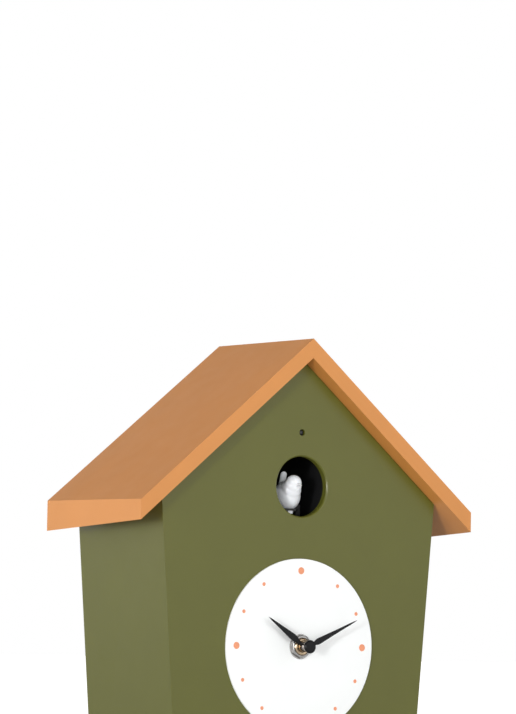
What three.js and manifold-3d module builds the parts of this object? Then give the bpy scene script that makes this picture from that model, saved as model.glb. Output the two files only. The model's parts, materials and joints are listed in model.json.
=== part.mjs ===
// Battery cuckoo clock: a moulded house with a pitched roof, a dial with two hands, a quartz
// movement, and a motor-driven bird that slides out of a round hole under the ridge.
// Millimetres. +Z is up, -Y is the front, +X is the viewer's right. The origin is the middle of
// the bounding box at the level of the base, so the clock stands on the plane Z = 0.
import * as THREE from "three";
import { mergeVertices } from "three/addons/utils/BufferGeometryUtils.js";
import Module from "manifold-3d";

const wasm = await Module();
wasm.setup();

// ---------------------------------------------------------------- driving dimensions
const WALL_Y = 51; // plane of the room wall, where the roof's rear rim rests
const ROOF_FRONT = -48.46;
const ROOF_DEPTH = WALL_Y - ROOF_FRONT;
const HOUSE_FRONT = -38.3;
const HOUSE_BACK = 48.7;
const SHELL = 2.4; // wall thickness of the house mouldings
const INNER_FRONT = HOUSE_FRONT + SHELL;
const BASE_HALF = 76.8; // half width of the house at its base
const TAPER = 0.08; // the house widens by this much per side and per millimetre of height
const SIDE_DRAFT = 0.028; // relative widening from front to back, so the moulding leaves its tool

const RIDGE_Z = 305.6;
const EAVE_X = 113.45;
const EAVE_TOP_Z = 210;
const EAVE_HEIGHT = 11.4;
const ROOF_THICK = 11.2; // vertical thickness at the ridge
const TOP_RISE = 0.85; // the roof's top rises by this much towards the wall
const UNDER_DROP = 5.1; // its underside drops by this much
const EAVE_SPREAD = 1.8 / EAVE_X;
const TOP_SLOPE = (RIDGE_Z - EAVE_TOP_Z) / EAVE_X;
const UNDER_APEX = RIDGE_Z - ROOF_THICK;
const UNDER_SLOPE = (UNDER_APEX - EAVE_TOP_Z + EAVE_HEIGHT) / EAVE_X;
const ROOF_SKIN = 2.8; // vertical thickness of the roof's skins
const FIT_GAP = 0.3;

const DIAL_Z = 130; // height of the arbors of the hands
const DIAL_R = 50;
const DIAL_THICK = 1.5;
const DIAL_FACE = HOUSE_FRONT - DIAL_THICK;
const HOUR_ANGLE = 303.4; // clockwise from twelve, at rest
const MINUTE_ANGLE = 64.9;
const HAND_THICK = 0.4;
const HOUR_HAND_Y = DIAL_FACE - 5.2;
const MINUTE_HAND_Y = DIAL_FACE - 8.9;
const CAP_FACE = DIAL_FACE - 11.2;
const SHAFT = { thread: 4.7, core: 4.35, bore: 3.45, clear: 4.9 }; // radii of the threaded bushing

const HOLE_X = 0.5; // centre of the bird's hole
const HOLE_Z = 221.3;
const HOLE_R = 17.2;
const HOLE_LIP = 0.85; // size of the softened chamfer round its lip
const HOLE_DEPTH = 4.1;
const SENSOR_Z = 252.2;
const DECK_TOP = 208.9;
const DECK_FRONT = -28.2;

const COVER_FRONT = HOUSE_BACK - SHELL;
const CASE_SCREWS = [[-67, 13], [67, 13], [-79, 188], [79, 188]];

// ---------------------------------------------------------------- materials
const material = (color, roughness, metalness = 0) =>
  new THREE.MeshStandardMaterial({ color, roughness, metalness });
const GREEN = () => material(0x6d7042, 0.45);
const ORANGE = () => material(0xe09c58, 0.4);
const WHITE = () => material(0xf2f4f2, 0.35);
const BLACK = () => material(0x141414, 0.4);
const NATURAL = () => material(0xe6e2d4, 0.45);
const STEEL = () => material(0xb9bcc0, 0.3, 1);
const BRASS = () => material(0xc2a04e, 0.3, 1);
const COPPER = () => material(0xa85a32, 0.35, 1);
const RUBBER = () => material(0x2a2a2a, 0.8);
const BOARD = () => material(0x2f6b45, 0.5);

// ---------------------------------------------------------------- shape helpers
function solid(geometry) {
  geometry.deleteAttribute("normal");
  geometry.deleteAttribute("uv");
  const merged = mergeVertices(geometry.index ? geometry.toNonIndexed() : geometry, 1e-4);
  const vertProperties = merged.attributes.position.array;
  const triVerts = new Uint32Array(merged.index.array);
  return new wasm.Manifold(new wasm.Mesh({ numProp: 3, vertProperties, triVerts }));
}

function part(name, body, finish) {
  const { vertProperties, triVerts } = body.getMesh();
  const geometry = new THREE.BufferGeometry();
  geometry.setAttribute("position", new THREE.BufferAttribute(vertProperties, 3));
  geometry.setIndex(new THREE.BufferAttribute(triVerts, 1));
  geometry.computeVertexNormals();
  const mesh = new THREE.Mesh(geometry, finish());
  mesh.name = name;
  return mesh;
}

const polygon = (points) => new THREE.Shape(points.map(([x, y]) => new THREE.Vector2(x, y)));

const extrude = (shape, depth, curveSegments = 12) =>
  new THREE.ExtrudeGeometry(shape, { depth, bevelEnabled: false, curveSegments });

// An outline in X and Z, carried along Y from yFront to yBack.
function prismY(shape, yFront, yBack, curveSegments) {
  const geometry = extrude(shape, yBack - yFront, curveSegments);
  return geometry.rotateX(Math.PI / 2).translate(0, yBack, 0);
}

// An outline in Y and Z, carried along X from x0 to x1.
function prismX(shape, x0, x1, curveSegments) {
  const turn = new THREE.Matrix4().makeBasis(
    new THREE.Vector3(0, 1, 0),
    new THREE.Vector3(0, 0, 1),
    new THREE.Vector3(1, 0, 0),
  );
  return extrude(shape, x1 - x0, curveSegments).applyMatrix4(turn).translate(x0, 0, 0);
}

function box([x0, x1], [y0, y1], [z0, z1]) {
  const geometry = new THREE.BoxGeometry(x1 - x0, y1 - y0, z1 - z0);
  return solid(geometry.translate((x0 + x1) / 2, (y0 + y1) / 2, (z0 + z1) / 2));
}

function rodY(radius, [y0, y1], x = 0, z = DIAL_Z, segments = 24) {
  const geometry = new THREE.CylinderGeometry(radius, radius, y1 - y0, segments);
  return solid(geometry.translate(x, (y0 + y1) / 2, z));
}

function rodX(radius, [x0, x1], y, z, segments = 16) {
  const geometry = new THREE.CylinderGeometry(radius, radius, x1 - x0, segments);
  return solid(geometry.rotateZ(Math.PI / 2).translate((x0 + x1) / 2, y, z));
}

function tubeY(outer, inner, span, x = 0, z = DIAL_Z, segments = 24) {
  const [y0, y1] = span;
  const bore = rodY(inner, [y0 - 1, y1 + 1], x, z, segments);
  return rodY(outer, span, x, z, segments).subtract(bore);
}

// A turned solid faces outwards when its profile of [radius, height] pairs runs counterclockwise.
function latheGeometry(profile, segments) {
  const points = profile.map(([radius, height]) => new THREE.Vector2(radius, height));
  if (THREE.ShapeUtils.isClockWise(points)) points.reverse();
  return new THREE.LatheGeometry(points, segments);
}

// The profile turned about an axis parallel to Y.
const turnY = (profile, x, y, z, segments = 24) =>
  solid(latheGeometry(profile, segments).translate(x, y, z));

function lead(points, radius = 0.8) {
  const path = new THREE.CatmullRomCurve3(points.map((point) => new THREE.Vector3(...point)));
  const section = new THREE.Shape().absarc(0, 0, radius, 0, Math.PI * 2, false);
  const options = { steps: 14, bevelEnabled: false, extrudePath: path, curveSegments: 3 };
  return solid(new THREE.ExtrudeGeometry(section, options));
}

// ---------------------------------------------------------------- gears
const ADDENDUM = 0.75;
const DEDENDUM = 1.1;
const TIP_HALF = 0.1; // half widths of a tooth, as fractions of the pitch
const ROOT_HALF = 0.3;

// Outline of a gear with one tooth pointing along the angle `phase`.
function gearShape(teeth, module, phase, [cx, cy]) {
  const pitch = (2 * Math.PI) / teeth;
  const root = (teeth * module) / 2 - DEDENDUM * module;
  const tip = (teeth * module) / 2 + ADDENDUM * module;
  const corners = [[root, -ROOT_HALF], [tip, -TIP_HALF], [tip, TIP_HALF], [root, ROOT_HALF]];
  const points = [];
  for (let tooth = 0; tooth < teeth; tooth += 1) {
    for (const [radius, offset] of corners) {
      const angle = phase + (tooth + offset) * pitch;
      points.push([cx + radius * Math.cos(angle), cy + radius * Math.sin(angle)]);
    }
  }
  return polygon(points);
}

const spacing = (wheelTeeth, pinionTeeth, module) => ((wheelTeeth + pinionTeeth) * module) / 2;
const polar = ([cx, cy], radius, degrees) => {
  const angle = (degrees * Math.PI) / 180;
  return [cx + radius * Math.cos(angle), cy + radius * Math.sin(angle)];
};
const bearing = (from, to) => Math.atan2(to[1] - from[1], to[0] - from[0]);
// A wheel shows a tooth to its partner, and the partner shows a gap to the wheel.
const toothTowards = (from, to) => bearing(from, to);
const gapTowards = (from, to, teeth) => bearing(from, to) + Math.PI / teeth;

// ---------------------------------------------------------------- house
// Everything above the roof's underside, lowered by `drop`.
function skyBlock(drop) {
  const reach = 140;
  const high = 420;
  const eave = UNDER_APEX - UNDER_SLOPE * reach - drop;
  const outline = [[-reach, eave], [0, UNDER_APEX - drop], [reach, eave], [reach, high], [-reach, high]];
  const geometry = prismY(polygon(outline), ROOF_FRONT, WALL_Y + 10);
  bend(geometry, (point, t) => {
    if (point.z < high - 1) point.z -= UNDER_DROP * t;
  });
  return solid(geometry);
}

// Moves the corners of a geometry; t runs from 0 at the roof's front to 1 at the wall.
function bend(geometry, move) {
  const position = geometry.attributes.position;
  const point = new THREE.Vector3();
  for (let i = 0; i < position.count; i += 1) {
    point.fromBufferAttribute(position, i);
    move(point, (point.y - ROOF_FRONT) / ROOF_DEPTH);
    position.setXYZ(i, point.x, point.y, point.z);
  }
}

// The tapered body of the house, `inset` inside its outer faces, under a roof line lowered by `drop`.
function houseBlock(inset, drop, yFront, yBack) {
  const top = 330;
  const foot = BASE_HALF + TAPER * inset - inset;
  const head = BASE_HALF + TAPER * top - inset;
  const outline = [[-foot, inset], [foot, inset], [head, top], [-head, top]];
  const geometry = prismY(polygon(outline), yFront, yBack);
  bend(geometry, (point) => {
    point.x *= 1 + (SIDE_DRAFT * (point.y - HOUSE_FRONT)) / (HOUSE_BACK - HOUSE_FRONT);
  });
  return solid(geometry).subtract(skyBlock(drop));
}

// What is cut away to chamfer the lip of the bird's hole; the chamfer's own edges are softened.
function lipCutter() {
  const inside = HOLE_R - 1;
  const start = [inside, HOLE_LIP];
  const edges = [[1, 0], [0.72, 0.1], [0.1, 0.72], [0, 1]];
  const lip = edges.map(([out, back]) => [HOLE_R + HOLE_LIP * out, HOLE_LIP * back]);
  const profile = [start, [inside, -1], [HOLE_R + HOLE_LIP, -1], ...lip, start];
  return turnY(profile, HOLE_X, HOUSE_FRONT, HOLE_Z, 72);
}

function frontShell() {
  const boss = (x, z, radius, end) => rodY(radius, [HOUSE_FRONT + 1, end], x, z, 16);
  let shell = houseBlock(0, FIT_GAP, HOUSE_FRONT, HOUSE_BACK);
  shell = shell.subtract(houseBlock(SHELL, FIT_GAP + SHELL * 1.3, INNER_FRONT, HOUSE_BACK + 5));
  const collar = [HOUSE_FRONT + 1, HOUSE_FRONT + HOLE_DEPTH];
  shell = shell.add(rodY(HOLE_R + 2.2, collar, HOLE_X, HOLE_Z, 72));
  for (const [x, z] of CASE_SCREWS) {
    shell = shell.add(boss(x, z, 4, COVER_FRONT));
    shell = shell.subtract(rodY(1.7, [COVER_FRONT - 12, COVER_FRONT + 1], x, z, 16));
  }
  for (const [x, z] of BOARD_PEGS) shell = shell.add(boss(x, z, 2.2, BOARD_Y[0]));
  const holes = [[HOLE_X, HOLE_Z, HOLE_R, 72], [0, SENSOR_Z, 1.9, 24], [0, DIAL_Z, SHAFT.clear, 32]];
  for (const [x, z, radius, segments] of holes) {
    const through = [HOUSE_FRONT - 1, HOUSE_FRONT + HOLE_DEPTH + 1];
    shell = shell.subtract(rodY(radius, through, x, z, segments));
  }
  return part("front_shell", shell.subtract(lipCutter()), GREEN);
}

// ---------------------------------------------------------------- roof
const roofTop = (x) => RIDGE_Z - TOP_SLOPE * Math.abs(x);
const roofUnder = (x) => UNDER_APEX - UNDER_SLOPE * Math.abs(x);

function roofWarp(point, t) {
  const middle = (roofTop(point.x) + roofUnder(point.x)) / 2;
  point.z += point.z > middle ? TOP_RISE * t : -UNDER_DROP * t;
  point.x *= 1 + EAVE_SPREAD * t;
}

function roofShell() {
  const right = [[EAVE_X, EAVE_TOP_Z], [EAVE_X, EAVE_TOP_Z - EAVE_HEIGHT]];
  const left = right.map(([x, z]) => [-x, z]).reverse();
  const outline = [[0, RIDGE_Z], ...right, [0, UNDER_APEX], ...left];
  const outer = prismY(polygon(outline), ROOF_FRONT, WALL_Y);
  bend(outer, roofWarp);
  let roof = solid(outer);
  const rib = 1.8;
  const bays = 3;
  const step = (EAVE_X - rib) / bays;
  for (const side of [-1, 1]) {
    for (let bay = 0; bay < bays; bay += 1) {
      const near = bay * step + rib;
      const far = (bay + 1) * step;
      const corners = [
        [side * near, roofTop(near) - ROOF_SKIN],
        [side * far, roofTop(far) - ROOF_SKIN],
        [side * far, roofUnder(far) + ROOF_SKIN],
        [side * near, roofUnder(near) + ROOF_SKIN],
      ];
      const cavity = prismY(polygon(corners), ROOF_FRONT + 2.4, WALL_Y + 1);
      bend(cavity, roofWarp);
      roof = roof.subtract(solid(cavity));
    }
  }
  return part("roof_shell", roof, ORANGE);
}

// ---------------------------------------------------------------- back
const TRAY = { x: [-62, -4], z: [16, 74], y: [18.5, 46.6] };
const HATCH_HALF = 33; // half size of the opening behind the movement
const SPEAKER = { x: 38, z: 44 };
const SWITCH = { x: 40, z: 84, travel: 5 };
const KEYHOLE_Z = 244;

function backCover() {
  let cover = houseBlock(SHELL + FIT_GAP, FIT_GAP + SHELL * 1.3 + 0.4, COVER_FRONT, HOUSE_BACK);
  const through = [COVER_FRONT - 1, HOUSE_BACK + 1];
  const hatch = [-HATCH_HALF, HATCH_HALF];
  cover = cover.subtract(box(TRAY.x, through, TRAY.z));
  cover = cover.subtract(box(hatch, through, hatch.map((value) => value + DIAL_Z)));
  cover = cover.subtract(rodY(4.6, through, 0, KEYHOLE_Z, 24));
  cover = cover.subtract(box([-2.6, 2.6], through, [KEYHOLE_Z, KEYHOLE_Z + 10]));
  cover = cover.subtract(rodY(2.6, through, 0, KEYHOLE_Z + 10, 16));
  for (let slot = -2; slot <= 2; slot += 1) {
    const half = Math.abs(slot) === 2 ? 9 : 15;
    const z = SPEAKER.z + slot * 6.5;
    cover = cover.subtract(box([SPEAKER.x - half, SPEAKER.x + half], through, [z - 1.4, z + 1.4]));
  }
  const slotX = [SWITCH.x - 2.2, SWITCH.x + SWITCH.travel + 2.2];
  cover = cover.subtract(box(slotX, through, [SWITCH.z - 1.7, SWITCH.z + 1.7]));
  for (const [x, z] of CASE_SCREWS) cover = cover.subtract(rodY(1.9, through, x, z, 16));
  return part("back_cover", cover, GREEN);
}

function door(name, [x0, x1], [z0, z1]) {
  const thick = 1.8;
  const y0 = HOUSE_BACK - thick;
  const gap = FIT_GAP;
  let plate = box([x0 + gap, x1 - gap], [y0, HOUSE_BACK], [z0 + gap, z1 - gap]);
  const middle = (x0 + x1) / 2;
  const notch = box([middle - 8, middle + 8], [HOUSE_BACK - 0.9, HOUSE_BACK + 1], [z1 - 8, z1 - 5]);
  plate = plate.subtract(notch);
  return part(name, plate, GREEN);
}

function backScrews() {
  const profile = [[0, -10.5], [1.45, -9.4], [1.45, 0], [3.1, 0], [3.1, 0.9], [2, 1.8], [0, 1.8]];
  return CASE_SCREWS.map(([x, z], index) =>
    part(`back_screw_${index + 1}`, turnY(profile, x, HOUSE_BACK + 0.05, z, 16), STEEL));
}

// ---------------------------------------------------------------- dial and hands
const WASHER_Y = [DIAL_FACE - 0.6, DIAL_FACE];
const NUT_Y = [WASHER_Y[0] - 1.8, WASHER_Y[0]];
const GASKET_Y = [INNER_FRONT, INNER_FRONT + 1];

function dialDisc() {
  const bore = SHAFT.clear;
  const profile = [[bore, 0], [DIAL_R, 0], [DIAL_R, -DIAL_THICK], [bore, -DIAL_THICK], [bore, 0]];
  return part("dial_disc", turnY(profile, 0, HOUSE_FRONT, DIAL_Z, 80), WHITE);
}

function hexNut() {
  const acrossFlats = 12;
  const corner = acrossFlats / Math.sqrt(3);
  const bore = rodY(SHAFT.thread + 0.15, [NUT_Y[0] - 1, 0], 0, DIAL_Z, 32);
  return part("hex_nut", rodY(corner, NUT_Y, 0, DIAL_Z, 6).subtract(bore), STEEL);
}

// A threaded tube: ridges around it, and a flange that bears on the movement's case from inside.
function threadedBushing() {
  const { thread, core, bore } = SHAFT;
  const front = NUT_Y[0] - 0.6;
  const pitch = 1;
  const flange = { radius: core + 1.8, back: CASE_INNER + 0.4 };
  const profile = [[bore, flange.back], [bore, front], [core, front]];
  for (let y = front + pitch / 2; y < HOUSE_FRONT; y += pitch) {
    profile.push([thread, y], [core, y + pitch / 2]);
  }
  profile.push([core, CASE_INNER], [flange.radius, CASE_INNER], [flange.radius, flange.back]);
  profile.push([bore, flange.back]);
  return part("threaded_bushing", turnY(profile, 0, 0, DIAL_Z, 24), BRASS);
}

// A hand drawn towards twelve: half widths at distances from the arbor, mirrored, with a hub.
function hand(name, y, hubRadius, bore, stations, angle) {
  const right = stations.map(([distance, half]) => [half, distance]);
  const left = right.filter(([half]) => half > 0).map(([half, distance]) => [-half, distance]);
  const blade = solid(prismY(polygon([...right, ...left.reverse()]), y, y + HAND_THICK));
  let body = blade.add(rodY(hubRadius, [y, y + HAND_THICK], 0, 0, 32));
  body = body.subtract(rodY(bore, [y - 2, y + 2], 0, 0, 24));
  const mesh = part(name, body, BLACK);
  mesh.rotation.y = THREE.MathUtils.degToRad(angle);
  mesh.position.z = DIAL_Z;
  return mesh;
}

const HOUR_BLADE = [
  [0, 0.8], [3, 0.8], [4.5, 1], [6.5, 1.5], [8.3, 1.95], [9.6, 2], [12, 1.85], [16, 1.45],
  [20, 1.08], [24, 0.74], [28, 0.38], [29.9, 0],
];
const MINUTE_BLADE = [
  [0, 0.9], [3.4, 0.9], [4.6, 1.1], [6.3, 1.62], [7.6, 1.8], [9.5, 1.7], [13.5, 1.45],
  [19.5, 1.08], [25.5, 0.77], [31.5, 0.5], [35, 0.27], [36.8, 0],
];
const hourHand = () => hand("hour_hand", HOUR_HAND_Y, 2.95, 2.7, HOUR_BLADE, HOUR_ANGLE);
const minuteHand = () => hand("minute_hand", MINUTE_HAND_Y, 3, 1.55, MINUTE_BLADE, MINUTE_ANGLE);

// A round button on a short neck, pressed over the end of the minute pipe.
function handCap() {
  const rim = 3.8;
  const neck = 3;
  const socket = 1.7;
  const profile = [
    [0, CAP_FACE], [rim - 0.5, CAP_FACE], [rim - 0.15, CAP_FACE + 0.15], [rim, CAP_FACE + 0.5],
    [rim, CAP_FACE + 1.1], [neck, CAP_FACE + 1.2], [neck, MINUTE_HAND_Y], [socket, MINUTE_HAND_Y],
    [socket, CAP_FACE + 0.9], [0, CAP_FACE + 0.9],
  ];
  return part("hand_cap", turnY(profile, 0, 0, DIAL_Z, 32), BLACK);
}

// ---------------------------------------------------------------- quartz movement
const CASE_FRONT = GASKET_Y[1];
const CASE_WALL = 1.2;
const CASE_INNER = CASE_FRONT + CASE_WALL;
const CASE_HALF = 28;
const CASE_BACK = CASE_FRONT + 13.5;
const COVER_BACK = CASE_BACK + 1.5;
const PARTITION = [-12, -11]; // wall between the cell and the wheels, from the arbors
const AA = { radius: 7.1, half: 25, z: DIAL_Z - 19.4, y: CASE_INNER + 7.4 };
const LAYER_PITCH = 1.75;
const layer = (index, thick = 1.25) => {
  const start = CASE_INNER + 0.5 + (index - 1) * LAYER_PITCH;
  return [start, start + thick];
};

const CENTRE = [0, DIAL_Z];
const TEETH = {
  cannon: 10, motion: 30, motionPinion: 8, hour: 32,
  thirdPinion: 6, centre: 45, secondsPinion: 6, third: 48,
  intermediatePinion: 6, seconds: 30, rotor: 6, intermediate: 36,
};
const MODULE = { motion: 0.45, centre: 0.32, seconds: 0.4, rotor: 0.34 };
const THIRD_SPACING = spacing(TEETH.centre, TEETH.thirdPinion, MODULE.centre);
MODULE.third = (2 * THIRD_SPACING) / (TEETH.third + TEETH.secondsPinion);
const MOTION_AT = polar(CENTRE, spacing(TEETH.motion, TEETH.cannon, MODULE.motion), 200);
const THIRD_AT = polar(CENTRE, THIRD_SPACING, 60);
const SECONDS_SPACING = spacing(TEETH.seconds, TEETH.intermediatePinion, MODULE.seconds);
const INTERMEDIATE_AT = polar(CENTRE, SECONDS_SPACING, 140);
const ROTOR_SPACING = spacing(TEETH.intermediate, TEETH.rotor, MODULE.rotor);
const ROTOR_AT = polar(INTERMEDIATE_AT, ROTOR_SPACING, 100);

const gearY = (teeth, module, phase, at, span) =>
  solid(prismY(gearShape(teeth, module, phase, at), span[0], span[1]));

function movementCase() {
  const half = [-CASE_HALF, CASE_HALF];
  const inner = [-CASE_HALF + CASE_WALL, CASE_HALF - CASE_WALL];
  const rise = (values) => values.map((value) => value + DIAL_Z);
  const depth = [CASE_INNER, CASE_BACK + 1];
  let tray = box(half, [CASE_FRONT, CASE_BACK], rise(half));
  tray = tray.subtract(box(inner, depth, rise([inner[0], PARTITION[0]])));
  tray = tray.subtract(box(inner, depth, rise([PARTITION[1], inner[1]])));
  tray = tray.subtract(rodY(SHAFT.clear, [CASE_FRONT - 1, CASE_INNER + 1], 0, DIAL_Z, 32));
  return part("movement_case", tray, BLACK);
}

function movementCover() {
  const half = [-CASE_HALF, CASE_HALF];
  let plate = box(half, [CASE_BACK, COVER_BACK], half.map((value) => value + DIAL_Z));
  const bay = box([-26.4, 26.4], [CASE_BACK - 1, COVER_BACK + 1], [DIAL_Z - 26.6, DIAL_Z - 12.2]);
  plate = plate.subtract(bay);
  const knobHole = rodY(2.2, [CASE_BACK - 1, COVER_BACK + 1], MOTION_AT[0], MOTION_AT[1]);
  return part("movement_cover", plate.subtract(knobHole), BLACK);
}

function minutePipe() {
  const pinion = gearY(TEETH.cannon, MODULE.motion, gapTowards(CENTRE, MOTION_AT, TEETH.cannon),
    CENTRE, layer(2));
  const pipe = rodY(1.5, [CAP_FACE + 1.4, layer(3)[1]], 0, DIAL_Z, 20);
  const bore = rodY(0.75, [CAP_FACE + 3, layer(3)[1] + 1], 0, DIAL_Z, 12);
  return part("minute_pipe", pinion.add(pipe).subtract(bore), STEEL);
}

function hourWheel() {
  const wheel = gearY(TEETH.hour, MODULE.motion, toothTowards(CENTRE, MOTION_AT), CENTRE, layer(1));
  const back = layer(1)[1];
  const pipe = rodY(2.65, [HOUR_HAND_Y - 3, back], 0, DIAL_Z, 24);
  const shoulder = rodY(3.2, [HOUR_HAND_Y + HAND_THICK + 0.05, back], 0, DIAL_Z, 24);
  const bore = rodY(1.65, [HOUR_HAND_Y - 4, back + 1], 0, DIAL_Z, 24);
  return part("hour_wheel", wheel.add(pipe).add(shoulder).subtract(bore), BRASS);
}

function motionWheel() {
  const [x, z] = MOTION_AT;
  const wheel = gearY(TEETH.motion, MODULE.motion, toothTowards(MOTION_AT, CENTRE), MOTION_AT, layer(2));
  const pinion = gearY(TEETH.motionPinion, MODULE.motion,
    gapTowards(MOTION_AT, CENTRE, TEETH.motionPinion), MOTION_AT, [layer(1)[0], layer(2)[1]]);
  const arbor = rodY(0.8, [layer(2)[0], COVER_BACK + 1.5], x, z, 12);
  return part("motion_wheel", wheel.add(pinion).add(arbor), NATURAL);
}

function settingKnob() {
  const [x, z] = MOTION_AT;
  const grips = 12;
  const outline = [];
  for (let i = 0; i < grips * 2; i += 1) {
    const radius = i % 2 === 0 ? 5.2 : 4.8;
    const angle = (i * Math.PI) / grips;
    outline.push([x + radius * Math.cos(angle), z + radius * Math.sin(angle)]);
  }
  const knob = solid(prismY(polygon(outline), COVER_BACK + 0.4, COVER_BACK + 4.4));
  const bore = rodY(0.9, [COVER_BACK - 1, COVER_BACK + 2], x, z, 12);
  return part("setting_knob", knob.subtract(bore), NATURAL);
}

function centreWheel() {
  const phase = toothTowards(CENTRE, THIRD_AT);
  const wheel = gearY(TEETH.centre, MODULE.centre, phase, CENTRE, layer(3));
  return part("centre_wheel", wheel.subtract(rodY(1.65, [-60, 60], 0, DIAL_Z, 20)), BRASS);
}

function thirdWheel() {
  const [x, z] = THIRD_AT;
  const wheel = gearY(TEETH.third, MODULE.third, toothTowards(THIRD_AT, CENTRE), THIRD_AT, layer(4));
  const pinion = gearY(TEETH.thirdPinion, MODULE.centre,
    gapTowards(THIRD_AT, CENTRE, TEETH.thirdPinion), THIRD_AT, [layer(3)[0], layer(4)[1]]);
  const arbor = rodY(0.4, [layer(3)[0] - 0.4, layer(4)[1] + 0.4], x, z, 10);
  return part("third_wheel", wheel.add(pinion).add(arbor), NATURAL);
}

function secondsWheel() {
  const wheel = gearY(TEETH.seconds, MODULE.seconds, toothTowards(CENTRE, INTERMEDIATE_AT),
    CENTRE, layer(5));
  const pinion = gearY(TEETH.secondsPinion, MODULE.third,
    gapTowards(CENTRE, THIRD_AT, TEETH.secondsPinion), CENTRE, [layer(4)[0], layer(5)[1]]);
  const arbor = rodY(0.45, [CASE_FRONT, layer(5)[1] + 0.4], 0, DIAL_Z, 10);
  return part("seconds_wheel", wheel.add(pinion).add(arbor), NATURAL);
}

function intermediateWheel() {
  const [x, z] = INTERMEDIATE_AT;
  const wheel = gearY(TEETH.intermediate, MODULE.rotor, toothTowards(INTERMEDIATE_AT, ROTOR_AT),
    INTERMEDIATE_AT, layer(6));
  const pinion = gearY(TEETH.intermediatePinion, MODULE.seconds,
    gapTowards(INTERMEDIATE_AT, CENTRE, TEETH.intermediatePinion), INTERMEDIATE_AT,
    [layer(5)[0], layer(6)[1]]);
  const arbor = rodY(0.4, [layer(5)[0] - 0.3, layer(6)[1] + 0.5], x, z, 10);
  return part("intermediate_wheel", wheel.add(pinion).add(arbor), NATURAL);
}

function rotor() {
  const [x, z] = ROTOR_AT;
  const pinion = gearY(TEETH.rotor, MODULE.rotor,
    gapTowards(ROTOR_AT, INTERMEDIATE_AT, TEETH.rotor), ROTOR_AT, [layer(5)[0], layer(6)[1]]);
  return part("rotor", pinion.add(rodY(2.9, layer(5), x, z, 20)), STEEL);
}

const STATOR = { left: -22, right: 14, low: 6.8, bridge: 16.5, top: 23.5, lug: 4.5 };

function stator() {
  const { left, right, low, bridge, top, lug } = STATOR;
  const outline = [
    [left, low], [right, low], [right, top], [right - lug, top],
    [right - lug, bridge], [left + lug, bridge], [left + lug, top], [left, top],
  ].map(([x, z]) => [x, z + DIAL_Z]);
  const plate = solid(prismY(polygon(outline), layer(5)[0], layer(5)[1]));
  const hole = rodY(3.35, [-60, 60], ROTOR_AT[0], ROTOR_AT[1], 24);
  return part("stator", plate.subtract(hole), STEEL);
}

function coilParts() {
  const z = DIAL_Z + STATOR.top - 1.5;
  const y = layer(5)[1] + 0.5;
  const core = box([STATOR.left, STATOR.right], [y - 0.5, y + 0.5], [z - 1.5, z + 1.5]);
  const length = [-15, 7];
  const winding = box(length, [y - 2.6, y + 2.6], [z - 3.4, z + 3.4]);
  const tunnel = box([-16, 8], [y - 0.7, y + 0.7], [z - 1.7, z + 1.7]);
  return [part("coil_core", core, STEEL), part("drive_coil", winding.subtract(tunnel), COPPER)];
}

function movementBoard() {
  const y = CASE_INNER + 0.7;
  const board = box([15.2, 26], [y, y + 1], [DIAL_Z - 8, DIAL_Z + 12]);
  const crystal = new THREE.CylinderGeometry(1, 1, 6, 16).rotateX(Math.PI / 2);
  const can = solid(crystal.translate(20, y + 2.05, DIAL_Z + 5));
  return [part("movement_board", board, BOARD), part("quartz_crystal", can, STEEL)];
}

// A dry cell lying along X: a can with a stud at its positive end.
function cell(name, [x0, x1], y, z, radius, stud) {
  const profile = [
    [0, x0], [radius - 0.5, x0], [radius, x0 + 0.5], [radius, x1 - 2.2], [radius - 0.6, x1 - 1.6],
    [stud, x1 - 1.6], [stud, x1], [0, x1],
  ];
  const geometry = latheGeometry(profile, 24).rotateZ(-Math.PI / 2);
  return part(name, solid(geometry.translate(0, y, z)), NATURAL);
}

function movementPower() {
  const wide = [AA.z - 4.5, AA.z + 4.5];
  const deep = [AA.y - 5, AA.y + 5];
  const plate = (name, x) => part(name, box([x, x + 0.4], deep, wide), STEEL);
  return [
    cell("aa_cell", [-AA.half, AA.half], AA.y, AA.z, AA.radius, 2.7),
    plate("aa_contact_plus", AA.half + 0.6),
    plate("aa_contact_minus", -AA.half - 1),
  ];
}

// ---------------------------------------------------------------- bird and its drive
const RACK = { module: 0.7, teeth: 14, root: DECK_TOP - 2, y: -16 };
const RACK_PITCH_Z = RACK.root - DEDENDUM * RACK.module;
const PINION_R = (RACK.teeth * RACK.module) / 2;
const DRIVE_AT = [RACK.y, RACK_PITCH_Z - PINION_R]; // y and z of the drive gear's axis
const DRIVE = { wheel: 40, motor: 10, module: 0.5, x: [23.9, 25.7] };
const MOTOR_AT = polar(DRIVE_AT, spacing(DRIVE.wheel, DRIVE.motor, DRIVE.module), -12);
const GUIDE = { wall: [8.8, 11.8], groove: 10, low: 187.6, top: 211.4, y: [-20, 20] };
const HOUSING = { half: 22, wall: 1.6, low: 186, high: 243, back: 24 };

function bird() {
  const ball = (rx, ry, rz, x, y, z) => {
    const geometry = new THREE.SphereGeometry(1, 16, 10);
    return solid(geometry.scale(rx, ry, rz).translate(x, y, z));
  };
  const head = { y: -30.2, z: DIAL_Z + 93.6 };
  let body = ball(7.9, 8, 8.8, 0, -24, DECK_TOP + 7.6);
  body = body.add(ball(5, 5, 4.9, 0, head.y, head.z));
  body = body.add(ball(6, 6.4, 6, 0, head.y + 2.6, head.z - 4.6));
  const beak = new THREE.ConeGeometry(1.1, 3.6, 8).rotateX(Math.PI);
  body = body.add(solid(beak.translate(0, head.y - 6, head.z - 1.6)));
  const tail = [[-17.6, 213], [-15.4, 214], [-19, 229.4], [-20.6, 229.8], [-21.4, 219]];
  body = body.add(solid(prismX(polygon(tail), -2.3, 2.3)));
  body = body.subtract(box([-20, 20], [-50, 10], [DECK_TOP - 10, DECK_TOP]));
  return part("bird", body, WHITE);
}

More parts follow.
